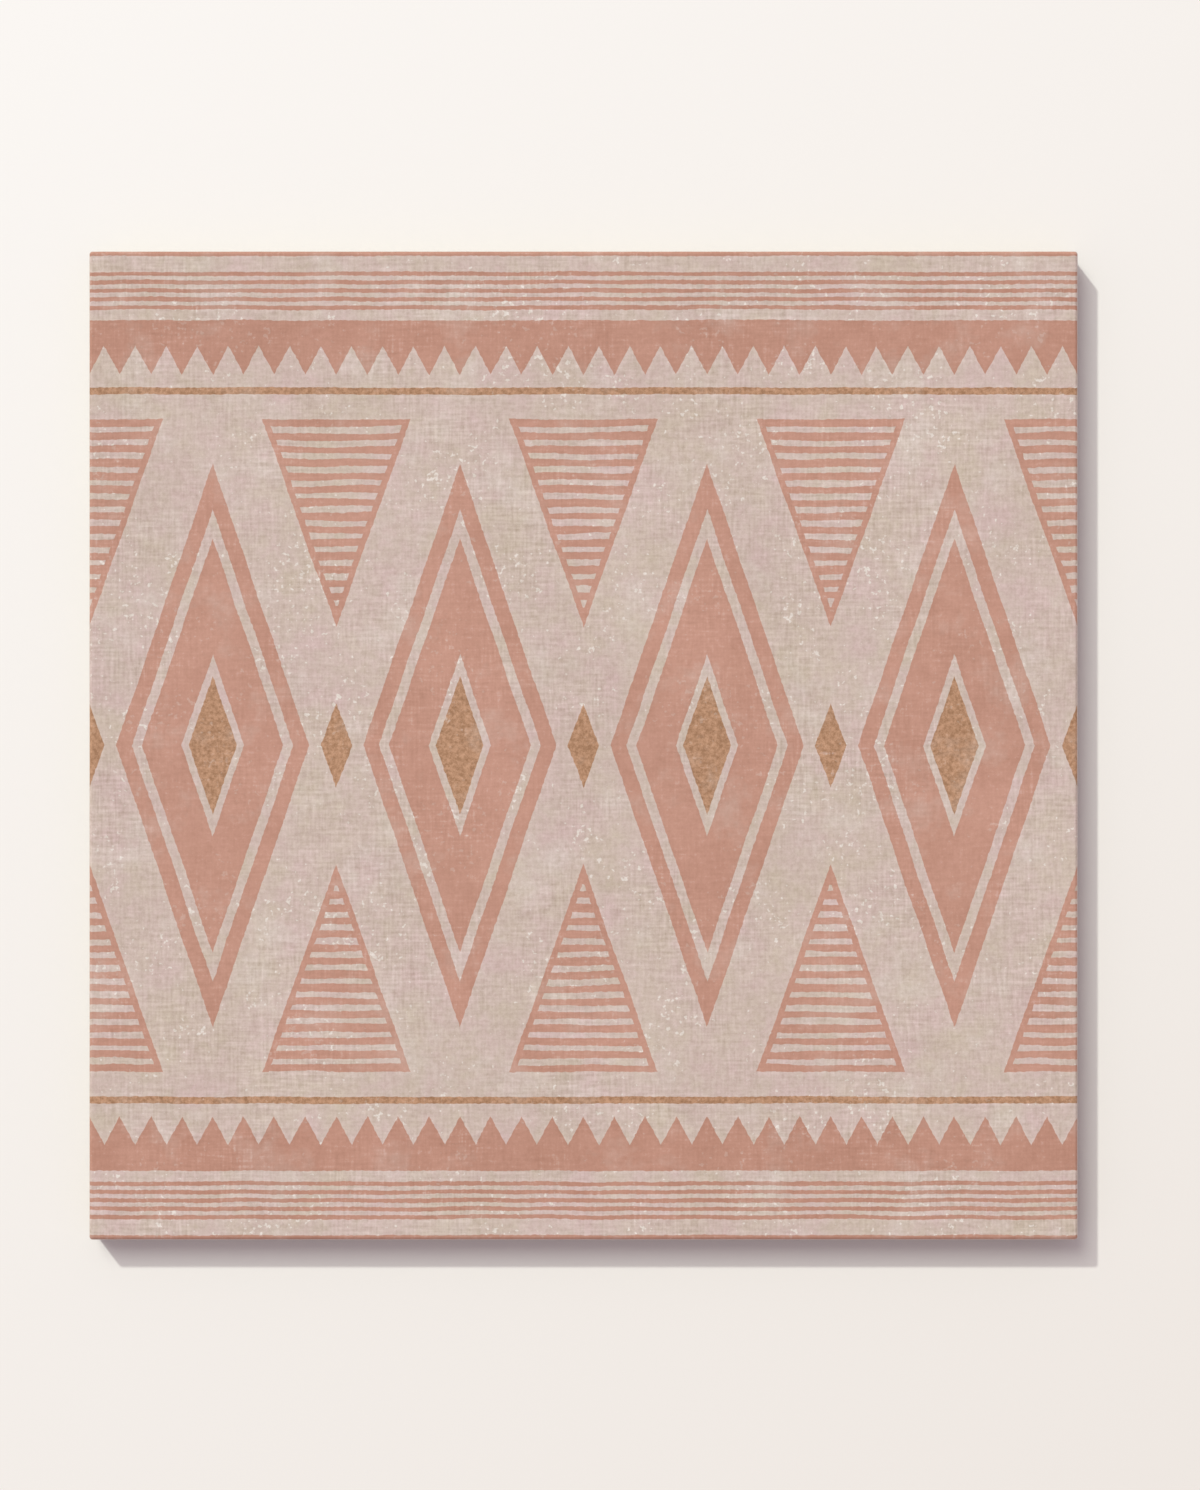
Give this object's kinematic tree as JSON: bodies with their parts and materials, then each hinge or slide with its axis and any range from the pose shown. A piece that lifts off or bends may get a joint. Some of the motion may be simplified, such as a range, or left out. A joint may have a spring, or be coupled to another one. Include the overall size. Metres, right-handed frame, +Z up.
{
  "type": "porcelain border tile",
  "caption": "Square porcelain border tile with a flat matt printed face, fine ground edges and a ribbed keying relief on the back.",
  "frame": {"origin": "middle of the back, on the plane of the keying ribs that the tile lies on", "axes": "+X runs along the border's stripes, +Y across them in the plane of the tile, and +Z up out of the printed face"},
  "size_m": [0.2, 0.2, 0.009],
  "materials": {
    "printed_porcelain": "matt printed glaze on pale porcelain"
  },
  "bodies": {
    "root": {"border_tile": "printed_porcelain"}
  },
  "joints": []
}
